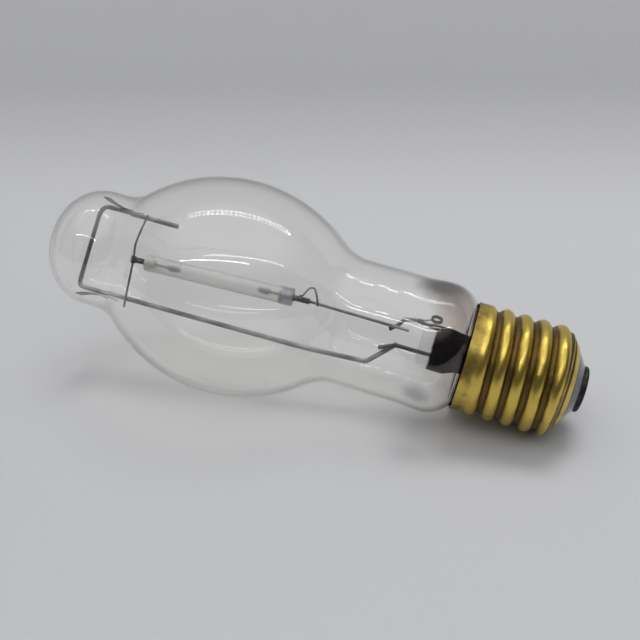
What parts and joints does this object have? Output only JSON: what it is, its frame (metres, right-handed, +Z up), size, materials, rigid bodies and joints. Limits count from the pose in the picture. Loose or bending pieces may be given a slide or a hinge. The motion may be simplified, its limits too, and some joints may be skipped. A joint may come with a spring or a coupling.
{
  "type": "high pressure sodium lamp",
  "caption": "Clear-glass high pressure sodium discharge lamp with a bulged bulb, a ceramic arc tube on a wire frame and a large brass screw cap.",
  "frame": {"origin": "the middle of the lamp's footprint, on the surface that it lies on", "axes": "+X along the table towards the screw cap, +Z up; the lamp's own axis lies in XZ and rises about ten degrees towards the dome"},
  "size_m": [0.1958, 0.078, 0.0785],
  "materials": {
    "clear_glass": "clear blown glass, polished",
    "stem_glass": "clear pressed glass, darkened inside by the getter",
    "lead_wire": "nickel-plated wire, dull",
    "thin_wire": "drawn nickel wire",
    "frame_steel": "drawn steel wire, dark grey",
    "spring_steel": "thin bright strip",
    "alumina": "translucent white ceramic",
    "plug_ceramic": "translucent white ceramic",
    "niobium": "dull grey metal",
    "tungsten": "dark grey metal",
    "brass": "rolled brass, lightly tarnished",
    "cement": "matt basing cement",
    "black_glass": "glossy dark grey glass",
    "contact_metal": "dark tarnished metal",
    "solder": "soft solder, dull"
  },
  "bodies": {
    "root": {"outer_bulb": "clear_glass", "stem_glass": "stem_glass", "exhaust_tube": "stem_glass", "upper_lead_in": "lead_wire", "lower_lead_in": "lead_wire", "centre_lead_wire": "thin_wire", "side_lead_wire": "thin_wire", "mount_frame": "frame_steel", "upper_leaf_spring": "spring_steel", "lower_leaf_spring": "spring_steel", "cross_wire": "frame_steel", "arc_tube": "alumina", "dome_end_plug": "plug_ceramic", "cap_end_plug": "plug_ceramic", "heat_band": "niobium", "dome_niobium_tube": "niobium", "cap_niobium_tube": "niobium", "dome_electrode": "tungsten", "cap_electrode": "tungsten", "dome_electrode_coil": "tungsten", "cap_electrode_coil": "tungsten", "support_rod": "frame_steel", "expansion_loop": "thin_wire", "getter_ring": "spring_steel", "getter_wire": "spring_steel", "cap_shell": "brass", "basing_cement": "cement", "cap_insulator": "black_glass", "centre_contact": "contact_metal", "contact_solder": "solder"}
  },
  "joints": []
}
